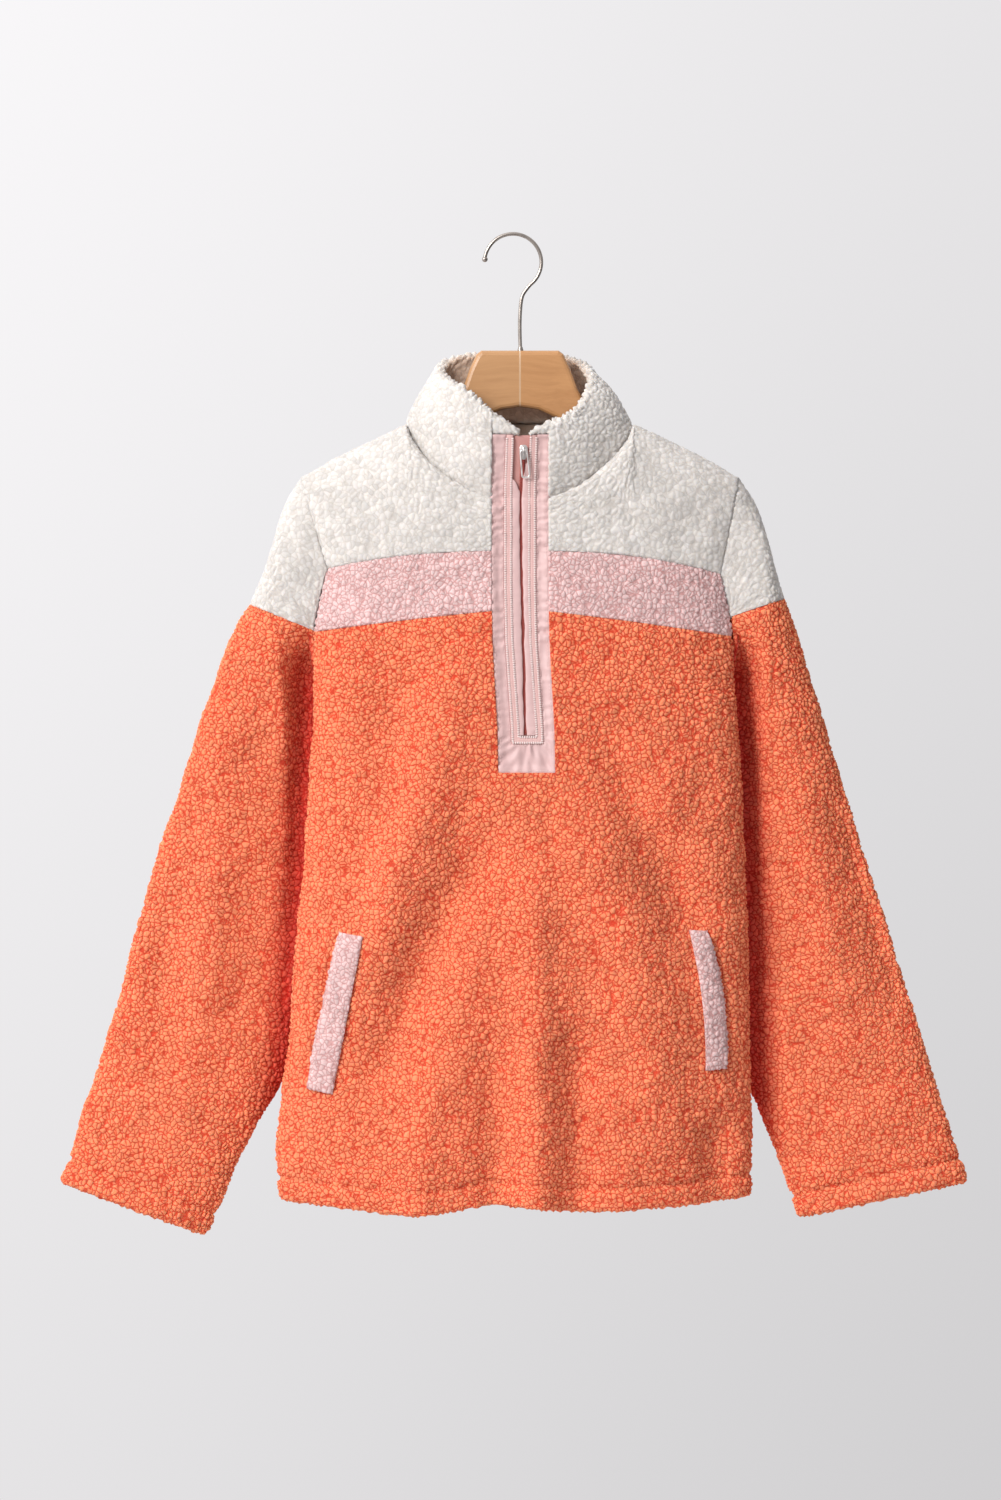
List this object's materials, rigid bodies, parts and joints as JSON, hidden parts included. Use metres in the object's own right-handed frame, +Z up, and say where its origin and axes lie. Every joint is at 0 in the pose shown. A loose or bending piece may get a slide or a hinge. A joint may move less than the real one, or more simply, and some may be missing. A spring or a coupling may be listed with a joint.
{
  "type": "half-zip sweatshirt on a hanger",
  "caption": "Half-zip pile fleece sweatshirt with a stand collar, colour-blocked yoke, chest band and slanted pocket welts, hanging open and empty on a flat wooden hanger.",
  "frame": {"origin": "inside of the hook's crown, where a rail would carry the hanger", "axes": "+Z up, the garment's front faces -Y, +X is to the viewer's right"},
  "size_m": [0.774, 0.1107, 0.8562],
  "materials": {
    "white_sherpa": "nubby pile",
    "pink_sherpa": "nubby pile",
    "orange_sherpa": "nubby pile",
    "pink_nylon": "smooth woven",
    "pink_binding": "ribbed woven",
    "red_coil": "woven tape and coil",
    "brushed_metal": "brushed",
    "pale_wood": "satin varnish"
  },
  "bodies": {
    "garment": {"back_band": "pink_sherpa", "back_body": "orange_sherpa", "back_yoke": "white_sherpa", "collar": "white_sherpa", "front_band_left": "pink_sherpa", "front_band_right": "pink_sherpa", "front_body": "orange_sherpa", "front_yoke_left": "white_sherpa", "front_yoke_right": "white_sherpa", "hanger_left": "pale_wood", "hanger_right": "pale_wood", "hook": "brushed_metal", "placket": "pink_nylon", "pocket_welt_left": "pink_sherpa", "pocket_welt_right": "pink_sherpa", "sleeve_cap_left": "white_sherpa", "sleeve_cap_right": "white_sherpa", "sleeve_left": "orange_sherpa", "sleeve_right": "orange_sherpa", "zip_frame": "pink_binding", "zip_lip_left": "pink_nylon", "zip_lip_right": "pink_nylon", "zip_slider": "brushed_metal", "zip_tape": "red_coil"},
    "pull_tab": {"pull_tab": "brushed_metal"}
  },
  "joints": [
    {"name": "pull_tab_swing", "type": "hinge", "parent": "garment", "child": "pull_tab", "pos_m": [0.009, -0.0509, -0.1845], "axis": [-1, 0, 0], "range_deg": [0, 150]}
  ]
}
